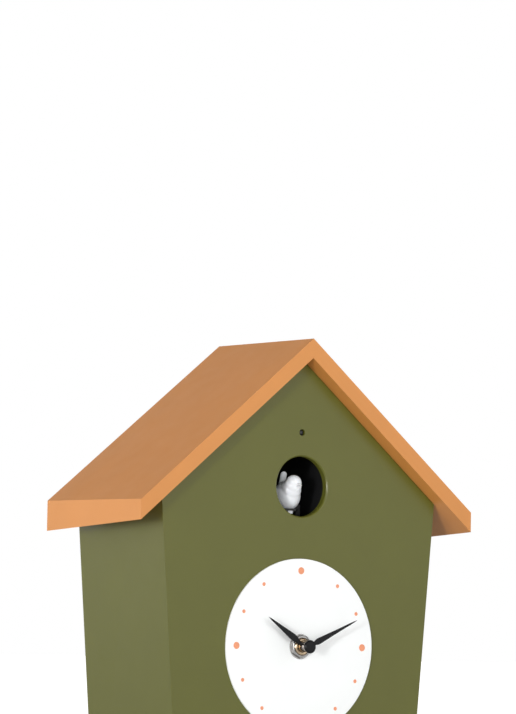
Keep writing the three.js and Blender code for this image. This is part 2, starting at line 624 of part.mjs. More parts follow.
// A plate that slides in the guide's grooves, with a narrow tongue in front under the bird.
function birdDeck() {
  const thick = [DECK_TOP - 1.2, DECK_TOP - 0.02];
  const tongue = box([-3.5, 3.5], [DECK_FRONT, 0], thick);
  const half = GUIDE.groove - 0.4;
  return part("bird_deck", tongue.add(box([-half, half], [-19.6, 12], thick)), BLACK);
}

function carriageRack() {
  const pitch = Math.PI * RACK.module;
  const tip = RACK_PITCH_Z - ADDENDUM * RACK.module;
  const [front, back] = [DECK_FRONT + 0.4, 11.4];
  const first = Math.ceil((front + 1 - RACK.y) / pitch + 0.5 + ROOT_HALF);
  const last = Math.floor((back - RACK.y) / pitch - 0.5 - ROOT_HALF);
  const outline = [[front, RACK.root - 0.9], [front + 1, RACK.root - 0.9], [front + 1, RACK.root]];
  for (let tooth = first; tooth <= last; tooth += 1) {
    const y = RACK.y + (tooth + 0.5) * pitch;
    outline.push([y - ROOT_HALF * pitch, RACK.root], [y - TIP_HALF * pitch, tip]);
    outline.push([y + TIP_HALF * pitch, tip], [y + ROOT_HALF * pitch, RACK.root]);
  }
  outline.push([back, RACK.root], [back, DECK_TOP - 1.22], [front, DECK_TOP - 1.22]);
  return part("carriage_rack", solid(prismX(polygon(outline), -1.5, 1.5)), WHITE);
}

function carriageGuide() {
  const { wall, groove, low, top, y } = GUIDE;
  let trough = box([-wall[1], wall[1]], y, [low, top]);
  trough = trough.subtract(box([-wall[0], wall[0]], [y[0] - 1, y[1] + 1], [low + 1.6, top + 1]));
  const slot = [DECK_TOP - 1.5, DECK_TOP + 0.3];
  trough = trough.subtract(box([-groove, groove], [y[0] - 1, y[1] + 1], slot));
  trough = trough.subtract(rodX(1.5, [-20, 20], DRIVE_AT[0], DRIVE_AT[1], 20));
  return part("carriage_guide", trough, BLACK);
}

function birdHousing() {
  const { half, wall, low, high, back } = HOUSING;
  const inner = [-half + wall, half - wall];
  let shroud = box([-half, half], [INNER_FRONT, back], [low, high]);
  shroud = shroud.subtract(box(inner, [INNER_FRONT - 1, back - wall], [low + wall, high - wall]));
  shroud = shroud.subtract(rodX(1.5, [half - wall - 1, half + 1], DRIVE_AT[0], DRIVE_AT[1], 20));
  return part("bird_housing", shroud, BLACK);
}

const gearX = (teeth, module, phase, at, span) =>
  solid(prismX(gearShape(teeth, module, phase, at), span[0], span[1]));

function driveGear() {
  const up = Math.PI / 2;
  const pinion = gearX(RACK.teeth, RACK.module, up, DRIVE_AT, [-2.4, 2.4]);
  const wheel = gearX(DRIVE.wheel, DRIVE.module, toothTowards(DRIVE_AT, MOTOR_AT), DRIVE_AT, DRIVE.x);
  const shaft = rodX(1.2, [-GUIDE.wall[1], 27.6], DRIVE_AT[0], DRIVE_AT[1], 16);
  return part("drive_gear", pinion.add(shaft).add(wheel), NATURAL);
}

function motorParts() {
  const [y, z] = MOTOR_AT;
  const [x0, x1] = DRIVE.x;
  const phase = gapTowards(MOTOR_AT, DRIVE_AT, DRIVE.motor);
  const pinion = gearX(DRIVE.motor, DRIVE.module, phase, MOTOR_AT, [x0 - 0.3, x1 + 0.3]);
  const shaft = rodX(0.7, [x1 - 1, x1 + 4], y, z, 12);
  const plateX = [26.6, 27.9];
  let can = rodX(10.1, [plateX[1], plateX[1] + 25], y, z, 32);
  can = can.intersect(box([0, 80], [y - 20, y + 20], [z - 7.6, z + 7.6]));
  can = can.subtract(rodX(1.1, [plateX[1] - 1, plateX[1] + 4], y, z, 16));
  let bracket = box(plateX, [DRIVE_AT[0] - 7, y + 12], [z - 11, z + 11]);
  for (const [py, pz] of [[DRIVE_AT[0] - 5.2, z - 9.2], [y + 9.5, z - 8.6], [y + 9.5, z + 8.6]]) {
    bracket = bracket.add(rodX(1.8, [HOUSING.half, plateX[1]], py, pz, 12));
  }
  bracket = bracket.subtract(rodX(1.1, [20, 40], y, z, 16));
  bracket = bracket.subtract(rodX(1.4, [20, 40], DRIVE_AT[0], DRIVE_AT[1], 16));
  return [
    part("motor_pinion", pinion.add(shaft), BRASS),
    part("motor", can, STEEL),
    part("motor_bracket", bracket, NATURAL),
  ];
}

function lightSensor() {
  const profile = [
    [0, HOUSE_FRONT + 0.6], [1, HOUSE_FRONT + 0.8], [1.6, HOUSE_FRONT + 1.4], [1.6, INNER_FRONT + 0.2],
    [2.8, INNER_FRONT + 0.2], [2.8, INNER_FRONT + 3], [0, INNER_FRONT + 3],
  ];
  return part("light_sensor", turnY(profile, 0, 0, SENSOR_Z, 20), BLACK);
}

// ---------------------------------------------------------------- sound, power and switch
const BOARD_Y = [INNER_FRONT + 3.6, INNER_FRONT + 5.2];
const BOARD_X = [12, 64];
const BOARD_Z = [30, 66];
const BOARD_PEGS = [[16, 34], [60, 34], [16, 62], [60, 62]];

function soundBoard() {
  const chip = box([32, 44], [BOARD_Y[1], BOARD_Y[1] + 2], [44, 52]);
  return [
    part("sound_board", box(BOARD_X, BOARD_Y, BOARD_Z), BOARD),
    part("sound_chip", chip, BLACK),
  ];
}

function speaker() {
  const { x, z } = SPEAKER;
  const rear = COVER_FRONT - 0.4;
  const frame = [
    [9, -13], [18, -6], [22, -3], [22, 0], [19, 0], [19, -2.2], [17, -4.6], [9, -11.6], [9, -13],
  ];
  const cone = [[0, -9.2], [4, -9], [16, -3.2], [18.4, -2], [18.4, -1.4], [15.6, -2.4], [4, -8], [0, -7]];
  return [
    part("speaker_frame", turnY(frame, x, rear, z, 28), STEEL),
    part("speaker_cone", turnY(cone, x, rear, z, 24), BLACK),
    part("speaker_magnet", rodY(8.6, [rear - 21, rear - 11], x, z, 24), STEEL),
  ];
}

const C_CELL = { radius: 13, half: 24.8 };

function powerParts() {
  const [x0, x1] = TRAY.x;
  const [z0, z1] = TRAY.z;
  const [y0, y1] = TRAY.y;
  const wall = 1.6;
  const middle = (z0 + z1) / 2;
  let tray = box([x0 + 0.2, x1 - 0.2], [y0, y1], [z0 + 0.2, z1 - 0.2]);
  for (const bay of [[z0 + wall, middle - wall / 2], [middle + wall / 2, z1 - wall]]) {
    tray = tray.subtract(box([x0 + wall, x1 - wall], [y0 + wall, y1 + 1], bay));
  }
  const centre = (x0 + x1) / 2;
  const y = y0 + wall + C_CELL.radius + 0.2;
  const rows = [(z0 + wall + middle - wall / 2) / 2, (middle + wall / 2 + z1 - wall) / 2];
  const span = [centre - C_CELL.half, centre + C_CELL.half];
  const contact = (name, x) =>
    part(name, box([x, x + 0.4], [y - 6, y + 6], [rows[0] - 6, rows[0] + 6]), STEEL);
  return [
    part("battery_tray", tray, BLACK),
    cell("c_cell_1", span, y, rows[0], C_CELL.radius, 3.2),
    cell("c_cell_2", span, y, rows[1], C_CELL.radius, 3.2),
    contact("tray_contact_plus", span[1] + 0.6),
    contact("tray_contact_minus", span[0] - 1),
  ];
}

function modeSwitch() {
  const { x, z, travel } = SWITCH;
  const y0 = COVER_FRONT - 6;
  const slide = box([x - 3.5, x + 3.5], [COVER_FRONT - 1.8, COVER_FRONT - 0.3], [z - 2.4, z + 2.4])
    .add(box([x - 1.8, x + 1.8], [COVER_FRONT - 1, HOUSE_BACK + 1.6], [z - 1.4, z + 1.4]));
  let housing = box([x - 6, x + travel + 6], [y0, COVER_FRONT - 0.02], [z - 4, z + 4]);
  const pocket = [[x - 4, x + travel + 4], [COVER_FRONT - 2.2, COVER_FRONT + 1], [z - 2.8, z + 2.8]];
  housing = housing.subtract(box(...pocket));
  return [part("mode_switch", slide, WHITE), part("switch_body", housing, STEEL)];
}

function leads() {
  const motor = [[53.6, MOTOR_AT[0], MOTOR_AT[1]], [60, MOTOR_AT[0], 195], [66, -6, 150], [62, -20, 90],
    [50, -26, 72], [46, -29.8, 63]];
  const magnet = COVER_FRONT - 21.9;
  const voice = [[SPEAKER.x, magnet, SPEAKER.z + 4], [34, 14, 58], [30, -6, 62], [26, -22, 61],
    [24, -29.8, 59]];
  return [part("motor_lead", lead(motor), RUBBER), part("speaker_lead", lead(voice), RUBBER)];
}

// ---------------------------------------------------------------- assembly
const clock = new THREE.Group();
clock.add(
  frontShell(),
  roofShell(),
  backCover(),
  door("battery_door", TRAY.x, TRAY.z),
  door("movement_door", [-HATCH_HALF, HATCH_HALF], [DIAL_Z - HATCH_HALF, DIAL_Z + HATCH_HALF]),
  ...backScrews(),
  dialDisc(),
  part("shaft_washer", tubeY(7.2, SHAFT.clear, WASHER_Y, 0, DIAL_Z, 40), STEEL),
  part("case_gasket", tubeY(10, SHAFT.clear, GASKET_Y, 0, DIAL_Z, 32), RUBBER),
  hexNut(),
  threadedBushing(),
  hourHand(),
  minuteHand(),
  handCap(),
  movementCase(),
  movementCover(),
  minutePipe(),
  hourWheel(),
  motionWheel(),
  settingKnob(),
  centreWheel(),
  thirdWheel(),
  secondsWheel(),
  intermediateWheel(),
  rotor(),
  stator(),
  ...coilParts(),
  ...movementBoard(),
  ...movementPower(),
  bird(),
  birdDeck(),
  carriageRack(),
  carriageGuide(),
  birdHousing(),
  driveGear(),
  ...motorParts(),
  lightSensor(),
  ...soundBoard(),
  ...speaker(),
  ...powerParts(),
  ...modeSwitch(),
  ...leads(),
);

export default clock;
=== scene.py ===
"""Looks of the battery cuckoo clock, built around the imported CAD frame. Lengths are in metres."""
import json
import math

import bmesh
import bpy
from mathutils import Matrix, Vector


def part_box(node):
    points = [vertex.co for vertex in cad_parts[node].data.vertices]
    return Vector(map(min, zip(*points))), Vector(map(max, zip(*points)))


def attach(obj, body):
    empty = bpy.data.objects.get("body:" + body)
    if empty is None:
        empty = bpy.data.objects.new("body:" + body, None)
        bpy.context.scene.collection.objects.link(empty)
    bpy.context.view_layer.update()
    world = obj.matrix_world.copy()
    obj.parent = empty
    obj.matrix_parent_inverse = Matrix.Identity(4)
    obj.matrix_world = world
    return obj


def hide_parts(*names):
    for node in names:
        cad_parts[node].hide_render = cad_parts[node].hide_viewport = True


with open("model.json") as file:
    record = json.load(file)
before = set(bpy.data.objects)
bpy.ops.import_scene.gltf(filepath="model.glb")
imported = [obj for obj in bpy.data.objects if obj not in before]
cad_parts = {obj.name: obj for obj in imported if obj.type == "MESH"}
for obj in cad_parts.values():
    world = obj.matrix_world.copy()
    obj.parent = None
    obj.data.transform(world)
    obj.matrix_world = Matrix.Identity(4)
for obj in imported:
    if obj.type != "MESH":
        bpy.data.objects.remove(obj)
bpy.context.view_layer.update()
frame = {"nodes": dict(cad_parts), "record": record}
MM = 0.001
TAU = 2 * math.pi
scene = bpy.context.scene
nodes = frame["nodes"]

# Places taken from the frame.
DIAL_LOW, DIAL_HIGH = (Vector(corner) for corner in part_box("dial_disc"))
DIAL_X = (DIAL_LOW.x + DIAL_HIGH.x) / 2
DIAL_Z = (DIAL_LOW.z + DIAL_HIGH.z) / 2
DIAL_R = (DIAL_HIGH.x - DIAL_LOW.x) / 2
DIAL_FACE = DIAL_LOW.y
HOUSE_FRONT = DIAL_HIGH.y


# ------------------------------------------------------------------ node helpers
class Finish:
    """A procedural material: one Principled shader with helpers that add its detail."""

    def __init__(self, name, colour, roughness, metallic=0.0, specular=0.5):
        self.material = bpy.data.materials.new(name)
        self.material.use_nodes = True
        self.tree = self.material.node_tree
        self.shader = self.tree.nodes["Principled BSDF"]
        self.colour = (*colour, 1.0)
        self.set("Base Color", self.colour)
        self.set("Roughness", roughness)
        self.set("Metallic", metallic)
        self.set("Specular IOR Level", specular)
        self.roughness = roughness
        self.place = self.add("ShaderNodeTexCoord").outputs["Object"]
        self.normal = None

    def set(self, name, value):
        self.shader.inputs[name].default_value = value

    def add(self, kind, **values):
        node = self.tree.nodes.new(kind)
        for name, value in values.items():
            setattr(node, name, value)
        return node

    def link(self, start, end):
        self.tree.links.new(start, end)

    def noise(self, size_mm, detail, stretch=(1, 1, 1)):
        """A noise whose lumps are about size_mm across, stretched along the given axes."""
        mapping = self.add("ShaderNodeMapping")
        mapping.inputs["Scale"].default_value = [1 / (size_mm * MM * s) for s in stretch]
        self.link(self.place, mapping.inputs["Vector"])
        noise = self.add("ShaderNodeTexNoise")
        noise.inputs["Scale"].default_value = 1.0
        noise.inputs["Detail"].default_value = detail
        self.link(mapping.outputs["Vector"], noise.inputs["Vector"])
        return noise.outputs["Fac"]

    def spread(self, value, low, high, start=0.3, end=0.7):
        """Maps value from start..end to low..high."""
        node = self.add("ShaderNodeMapRange")
        node.inputs["From Min"].default_value = start
        node.inputs["From Max"].default_value = end
        node.inputs["To Min"].default_value = low
        node.inputs["To Max"].default_value = high
        self.link(value, node.inputs["Value"])
        return node.outputs["Result"]

    def bump(self, height, depth_mm):
        """Raises the surface by height times depth_mm, on top of the bumps added before."""
        node = self.add("ShaderNodeBump")
        node.inputs["Distance"].default_value = depth_mm * MM
        self.link(height, node.inputs["Height"])
        if self.normal is not None:
            self.link(self.normal, node.inputs["Normal"])
        self.normal = node.outputs["Normal"]
        self.link(self.normal, self.shader.inputs["Normal"])

    def mottle(self, size_mm, change):
        """Varies the colour's value by about change, in lumps of size_mm."""
        factor = self.noise(size_mm, 4.0)
        mix = self.add("ShaderNodeMix", data_type="RGBA", blend_type="MIX")
        dark = [channel * (1 - change) for channel in self.colour[:3]]
        light = [min(1.0, channel * (1 + change)) for channel in self.colour[:3]]
        inputs = [socket for socket in mix.inputs if socket.type == "RGBA"]
        inputs[0].default_value = (*dark, 1.0)
        inputs[1].default_value = (*light, 1.0)
        self.link(self.spread(factor, 0.0, 1.0), mix.inputs["Factor"])
        output = next(socket for socket in mix.outputs if socket.type == "RGBA")
        self.link(output, self.shader.inputs["Base Color"])
        return output

    def uneven_gloss(self, size_mm, change):
        factor = self.noise(size_mm, 4.0)
        rough = self.spread(factor, self.roughness - change, self.roughness + change)
        self.link(rough, self.shader.inputs["Roughness"])


def moulded(name, colour, roughness=0.32, grain=0.006):
    """Injection-moulded plastic with a fine eroded grain, faint flow marks and handling sheen."""
    finish = Finish(name, colour, roughness)
    finish.mottle(24, 0.025)
    finish.uneven_gloss(9, 0.035)
    finish.bump(finish.noise(0.42, 2.0), grain)
    finish.bump(finish.noise(14, 2.0), 0.02)
    return finish.material


def roof_plastic():
    finish = Finish("roof_orange", ORANGE, 0.4)
    finish.mottle(30, 0.02)
    finish.uneven_gloss(11, 0.03)
    finish.bump(finish.noise(0.5, 2.0), 0.006)
    finish.bump(finish.noise(18, 2.0), 0.025)
    return finish.material


def dial_print():
    finish = Finish("dial_white", (0.965, 0.98, 0.975), 0.38)
    finish.mottle(16, 0.008)
    finish.bump(finish.noise(0.3, 3.0), 0.003)
    return finish.material


def ink():
    finish = Finish("dot_ink", (0.86, 0.33, 0.17), 0.5)
    finish.mottle(0.6, 0.08)
    finish.bump(finish.noise(0.25, 2.0), 0.01)
    return finish.material


def black_enamel(name, roughness, specular):
    finish = Finish(name, (0.008, 0.008, 0.009), roughness, specular=specular)
    finish.mottle(2.0, 0.3)
    finish.uneven_gloss(1.5, 0.05)
    finish.bump(finish.noise(0.18, 2.0), 0.003)
    return finish.material


def add_scratches(finish):
    """Fine scratches along X."""
    finish.bump(finish.noise(0.35, 3.0, (6, 1, 1)), 0.004)


def brushed(name, colour, roughness):
    """Plated or machined metal with fine scratches along X."""
    finish = Finish(name, colour, roughness, metallic=1.0)
    finish.mottle(3.0, 0.06)
    finish.uneven_gloss(1.2, 0.06)
    add_scratches(finish)
    return finish.material


def half_plated(name, brass, plate, border_y):
    """Machined brass, nickel-plated in front of the plane at border_y."""
    finish = Finish(name, brass, 0.24, metallic=1.0)
    base = finish.mottle(3.0, 0.06)
    split = finish.add("ShaderNodeSeparateXYZ")
    finish.link(finish.add("ShaderNodeNewGeometry").outputs["Position"], split.inputs["Vector"])
    ahead = finish.add("ShaderNodeMath", operation="LESS_THAN")
    ahead.inputs[1].default_value = border_y
    finish.link(split.outputs["Y"], ahead.inputs[0])
    mix = finish.add("ShaderNodeMix", data_type="RGBA", blend_type="MIX")
    colours = [socket for socket in mix.inputs if socket.type == "RGBA"]
    finish.link(ahead.outputs[0], mix.inputs["Factor"])
    finish.link(base, colours[0])
    colours[1].default_value = (*plate, 1.0)
    output = next(socket for socket in mix.outputs if socket.type == "RGBA")
    finish.link(output, finish.shader.inputs["Base Color"])
    finish.uneven_gloss(1.2, 0.06)
    add_scratches(finish)
    return finish.material


def glossy_white(name, colour):
    finish = Finish(name, colour, 0.3)
    finish.set("Subsurface Weight", 0.08)
    finish.set("Subsurface Radius", (0.6 * MM, 0.5 * MM, 0.4 * MM))
    finish.mottle(5.0, 0.015)
    finish.uneven_gloss(2.5, 0.05)
    finish.bump(finish.noise(0.5, 2.0), 0.006)
    return finish.material


def winding():
    """Enamelled copper wire: turns lie side by side along X."""
    finish = Finish("copper_wire", (0.55, 0.2, 0.08), 0.3, metallic=1.0)
    mapping = finish.add("ShaderNodeMapping")
    mapping.inputs["Scale"].default_value = [1 / (0.12 * MM), 1, 1]
    finish.link(finish.place, mapping.inputs["Vector"])
    wave = finish.add("ShaderNodeTexWave", wave_type="BANDS", bands_direction="X")
    wave.inputs["Scale"].default_value = 0.31
    finish.link(mapping.outputs["Vector"], wave.inputs["Vector"])
    finish.mottle(1.0, 0.15)
    finish.bump(wave.outputs["Fac"], 0.05)
    return finish.material


def circuit_board(name):
    """Green solder mask in small blocks with paler lines between them."""
    finish = Finish(name, (0.02, 0.12, 0.05), 0.28)
    brick = finish.add("ShaderNodeTexBrick")
    brick.inputs["Scale"].default_value = 260
    brick.inputs["Color1"].default_value = (0.02, 0.11, 0.045, 1)
    brick.inputs["Color2"].default_value = (0.025, 0.15, 0.06, 1)
    brick.inputs["Mortar"].default_value = (0.05, 0.24, 0.1, 1)
    brick.inputs["Mortar Size"].default_value = 0.06
    turn = finish.add("ShaderNodeMapping")
    turn.inputs["Rotation"].default_value = (math.pi / 2, 0, 0)
    finish.link(finish.place, turn.inputs["Vector"])
    finish.link(turn.outputs["Vector"], brick.inputs["Vector"])
    finish.link(brick.outputs["Color"], finish.shader.inputs["Base Color"])
    finish.bump(brick.outputs["Fac"], 0.03)
    return finish.material


def cell_jacket():
    """A plain dark sleeve with a faint metallic sheen."""
    finish = Finish("cell_jacket", (0.02, 0.022, 0.03), 0.28, metallic=0.3)
    finish.mottle(4.0, 0.1)
    finish.bump(finish.noise(0.8, 2.0), 0.01)
    return finish.material


GREEN = (0.107, 0.110, 0.0135)
ORANGE = (0.64, 0.256, 0.062)
BLACK = (0.012, 0.012, 0.013)
BRASS = (0.6, 0.46, 0.31)

MATERIALS = {
    "house_green": moulded("house_green", GREEN),
    "roof_orange": roof_plastic(),
    "dial_white": dial_print(),
    "hand_black": black_enamel("hand_black", 0.38, 0.2),
    "plated_steel": brushed("plated_steel", (0.5, 0.49, 0.48), 0.22),
    "bright_brass": brushed("bright_brass", BRASS, 0.24),
    "copper_wire": winding(),
    "case_black": moulded("case_black", BLACK, 0.5, 0.01),
    "gear_natural": moulded("gear_natural", (0.8, 0.77, 0.68), 0.4, 0.004),
    "bird_white": glossy_white("bird_white", (0.88, 0.9, 0.93)),
    "circuit_green": circuit_board("circuit_green"),
    "seal_rubber": moulded("seal_rubber", (0.02, 0.02, 0.02), 0.75, 0.02),
    "cell_jacket": cell_jacket(),
}

CAP_BLACK = black_enamel("cap_black", 0.16, 0.18)
HOUR_HAND_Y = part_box("hour_hand")[0][1]
PIPE = half_plated("pipe_plating", BRASS, (0.66, 0.62, 0.6), HOUR_HAND_Y + 0.1 * MM)


def dress(obj, material):
    obj.data.materials.clear()
    obj.data.materials.append(material)


# ------------------------------------------------------------------ smooth shading
def smoothing_group():
    """Geometry nodes that shade faces smooth and keep edges over the limit sharp."""
    group = bpy.data.node_groups.new("smooth_by_angle", "GeometryNodeTree")
    group.interface.new_socket("Geometry", in_out="INPUT", socket_type="NodeSocketGeometry")
    group.interface.new_socket("Geometry", in_out="OUTPUT", socket_type="NodeSocketGeometry")
    start = group.nodes.new("NodeGroupInput")
    end = group.nodes.new("NodeGroupOutput")
    faces = group.nodes.new("GeometryNodeSetShadeSmooth")
    faces.domain = "FACE"
    edges = group.nodes.new("GeometryNodeSetShadeSmooth")
    edges.domain = "EDGE"
    edges.inputs["Shade Smooth"].default_value = False
    angle = group.nodes.new("GeometryNodeInputMeshEdgeAngle")
    over = group.nodes.new("FunctionNodeCompare")
    over.operation = "GREATER_THAN"
    over.inputs["B"].default_value = math.radians(32)
    group.links.new(start.outputs[0], faces.inputs["Geometry"])
    group.links.new(faces.outputs[0], edges.inputs["Geometry"])
    group.links.new(angle.outputs["Unsigned Angle"], over.inputs["A"])
    group.links.new(over.outputs[0], edges.inputs["Selection"])
    group.links.new(edges.outputs[0], end.inputs[0])
    return group


SMOOTHING = smoothing_group()


# ------------------------------------------------------------------ the CAD nodes
def finish_cad_nodes():
    """Gives each CAD node its material. The nodes keep the sharp edges that they arrive with."""
    slots = {row["node"]: row["material_slot"] for row in frame["record"]["subparts"]}
    for name, obj in nodes.items():
        dress(obj, PIPE if name == "hour_wheel" else MATERIALS[slots[name]])


# ------------------------------------------------------------------ mesh helpers
def new_object(name, verts, faces):
    """An object with outward normals, linked to the scene."""
    mesh = bpy.data.meshes.new(name)
    mesh.from_pydata([tuple(v) for v in verts], [], faces)
    mesh.update()
    obj = bpy.data.objects.new(name, mesh)
    scene.collection.objects.link(obj)
    work = bmesh.new()
    work.from_mesh(mesh)
    bmesh.ops.recalc_face_normals(work, faces=work.faces)
    work.to_mesh(mesh)
    work.free()
    return obj


def bake(obj):
    """Replaces the mesh of obj by the result of its modifiers."""
    graph = bpy.context.evaluated_depsgraph_get()
    baked = bpy.data.meshes.new_from_object(obj.evaluated_get(graph))
    obj.modifiers.clear()
    obj.data = baked


def cut_away(obj, cutters):
    """Cuts closed cutters, given as vertices and faces, out of obj."""
    tools = [new_object("cutter", *cutter) for cutter in cutters]
    for tool in tools:
        cut = obj.modifiers.new("cut", "BOOLEAN")
        cut.operation = "DIFFERENCE"
        cut.object = tool
    bake(obj)
    for tool in tools:
        bpy.data.objects.remove(tool)


def piece(name, verts, faces, material, body, replaces=(), cutters=()):
    obj = new_object(name, verts, faces)
    if cutters:
        cut_away(obj, cutters)
    smoothing = obj.modifiers.new("smooth_by_angle", "NODES")
    smoothing.node_group = SMOOTHING
    dress(obj, material)
    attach(obj, body)
    if replaces:
        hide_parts(*replaces)
    return obj


def ring_surface(rows, steps, point):
    """Vertices and quads of a closed profile swept round an axis: point(row, angle) is each place."""
    verts = [point(row, TAU * k / steps) for row in range(rows) for k in range(steps)]
    faces = []
    for row in range(rows):
        after = (row + 1) % rows
        for k in range(steps):
            n = (k + 1) % steps
            faces.append((row * steps + k, row * steps + n, after * steps + n, after * steps + k))
    return verts, faces


def turned(name, profile, centre, steps, material, body, replaces=(), cutters=()):
    """A profile of (radius, y) pairs in millimetres turned about the line through centre along Y."""
    def point(row, angle):
        radius, y = profile[row]
        return centre + Vector((math.sin(angle) * radius * MM, y * MM, math.cos(angle) * radius * MM))
    verts, faces = ring_surface(len(profile), steps, point)
    return piece(name, verts, faces, material, body, replaces, cutters)


def fillet(points, radius, steps=4):
    """Rounds each corner of a closed outline of (radius, y) pairs."""
    out = []
    count = len(points)
    for i, corner in enumerate(points):
        here = Vector(corner)
        before = Vector(points[i - 1]) - here
        after = Vector(points[(i + 1) % count]) - here
        reach = min(radius, before.length / 2.1, after.length / 2.1)
        start = here + before.normalized() * reach
        end = here + after.normalized() * reach
        for k in range(steps + 1):
            t = k / steps
            out.append(tuple(start.lerp(here, t).lerp(here.lerp(end, t), t)))
    return out


def fillet_open(points, radius, steps=3):
    """Rounds every corner of an open outline except its two ends."""
    rounded = fillet(points, radius, steps)
    return [points[0], *rounded[steps + 1:-steps - 1], points[-1]]


# ------------------------------------------------------------------ dial
DOT_RADIUS = 43.16  # of the circle that the dots stand on, in millimetres
BIG_DOTS = (0, 90, 180, 270)
SMALL_DOTS = (35.9, 63.4, 116.5, 144.3)


def dial():
    centre = Vector((DIAL_X, HOUSE_FRONT, DIAL_Z))
    thick = (HOUSE_FRONT - DIAL_FACE) / MM
    bore = 4.9
    outline = [(bore, 0), (DIAL_R / MM, 0), (DIAL_R / MM, -thick), (bore, -thick)]
    turned("dial_plate", fillet(outline, 0.3), centre, 192, MATERIALS["dial_white"], "case",
           ("dial_disc",))


def dots():
    """Printed dots, each a very low dome of ink."""
    verts, faces = [], []
    small = [sign * angle for angle in SMALL_DOTS for sign in (1, -1)]
    for angle, radius in [(a, 2.03) for a in BIG_DOTS] + [(a, 1.1) for a in small]:
        turn = math.radians(angle)
        centre = Vector((DIAL_X + DOT_RADIUS * MM * math.sin(turn), DIAL_FACE,
                         DIAL_Z + DOT_RADIUS * MM * math.cos(turn)))
        first = len(verts)
        rings = [(1.0, 0.02), (1.0, -0.03), (0.94, -0.05), (0.5, -0.055)]
        steps = 40
        for share, y in rings:
            for k in range(steps):
                a = TAU * k / steps
                verts.append(centre + Vector((math.sin(a) * radius * share * MM, y * MM,
                                              math.cos(a) * radius * share * MM)))
        for ring in range(len(rings) - 1):
            for k in range(steps):
                n = (k + 1) % steps
                low = first + ring * steps
                faces.append((low + k, low + n, low + steps + n, low + steps + k))
        faces.append(tuple(first + k for k in range(steps)))
        faces.append(tuple(first + (len(rings) - 1) * steps + k for k in range(steps)))
    obj = piece("dial_dots", verts, faces, ink(), "case")


# ------------------------------------------------------------------ hub hardware
def hex_nut():
    low, high = (Vector(corner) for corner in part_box("hex_nut"))
    flats = (high.x - low.x) / 2 if high.x - low.x < high.z - low.z else (high.z - low.z) / 2
    flats /= MM
    front, back = low.y, high.y
    thick = (back - front) / MM
    bore = 4.85
    corner = flats / math.cos(math.pi / 6)
    chamfer = 0.42
    face_radius = flats * 0.965
    rows = [("in", 0.35), ("in", thick), ("out", thick), ("out", chamfer), ("out", chamfer * 0.5),
            ("out", 0.12), ("face", 0.0), ("lip", 0.0)]

    def hexagon(angle):
        turn = (angle + math.pi / 6) % (math.pi / 3) - math.pi / 6
        return flats / math.cos(turn)

    def point(row, angle):
        kind, depth = rows[row]
        if kind == "in":
            radius = bore
        elif kind == "lip":
            radius = bore + 0.35
        elif kind == "face":
            radius = face_radius
        else:
            cone = face_radius + (corner - face_radius) * min(1.0, depth / chamfer)
            radius = min(hexagon(angle), cone + 0.02)
        return Vector((DIAL_X + math.sin(angle + math.pi / 2) * radius * MM, front + depth * MM,
                       DIAL_Z + math.cos(angle + math.pi / 2) * radius * MM))
    verts, faces = ring_surface(len(rows), 144, point)
    piece("nut_hex", verts, faces, MATERIALS["plated_steel"], "case", ("hex_nut",))


def bushing():
    """The threaded tube: a helical ridge outside, a smooth bore inside."""
    low, high = (Vector(corner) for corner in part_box("threaded_bushing"))
    front, back = low.y / MM, high.y / MM
    pitch, bore, crest, root = 0.75, 3.47, 4.69, 4.36
    levels = 120
    lead_in, run_out = 0.25, 0.45
    edge = (high.x - low.x) / 2 / MM
    flange = [(edge, back - 0.4), (edge, back), (bore, back)]

    def point(row, angle):
        if row < levels:
            y = front + lead_in + (back - run_out - front) * row / (levels - 1)
            phase = (y / pitch - angle / TAU) % 1
            ridge = 1 - abs(2 * phase - 1)
            fade = min(1.0, (y - front) / 0.3, (back - run_out - y) / 0.5)
            radius = root + (crest - root) * min(1.0, ridge * 1.25) * max(0.0, fade)
        elif row < levels + len(flange):
            radius, y = flange[row - levels]
        elif row == levels + len(flange):
            radius, y = bore, front
        else:
            radius, y = root - 0.15, front
        return Vector((DIAL_X + math.sin(angle) * radius * MM, y * MM,
                       DIAL_Z + math.cos(angle) * radius * MM))
    verts, faces = ring_surface(levels + len(flange) + 2, 96, point)
    piece("bushing_thread", verts, faces, MATERIALS["bright_brass"], "case", ("threaded_bushing",))


def cap():
    low, high = (Vector(corner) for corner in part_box("hand_cap"))
    radius = (high.x - low.x) / 2 / MM
    depth = (high.y - low.y) / MM
    neck, socket, roof, chamfer = 3.0, 1.7, 0.9, 0.6
    rim = [(0.001, 0.02), (radius - chamfer, 0.0), (radius, chamfer), (radius, 1.1), (neck, 1.2),
           (neck, depth), (socket, depth), (socket, roof), (0.001, roof)]
    centre = Vector((DIAL_X, low.y, DIAL_Z))
    turned("cap_turned", fillet_open(rim, 0.12), centre, 72, CAP_BLACK, "minute_hands", ("hand_cap",))


# ------------------------------------------------------------------ back screws
def block(low, high):
    """Vertices and faces of a box between two corners in metres."""
    verts = [(x, y, z) for x in (low[0], high[0]) for y in (low[1], high[1]) for z in (low[2], high[2])]
    faces = [(0, 1, 3, 2), (4, 6, 7, 5), (0, 4, 5, 1), (2, 3, 7, 6), (0, 2, 6, 4), (1, 5, 7, 3)]
    return verts, faces


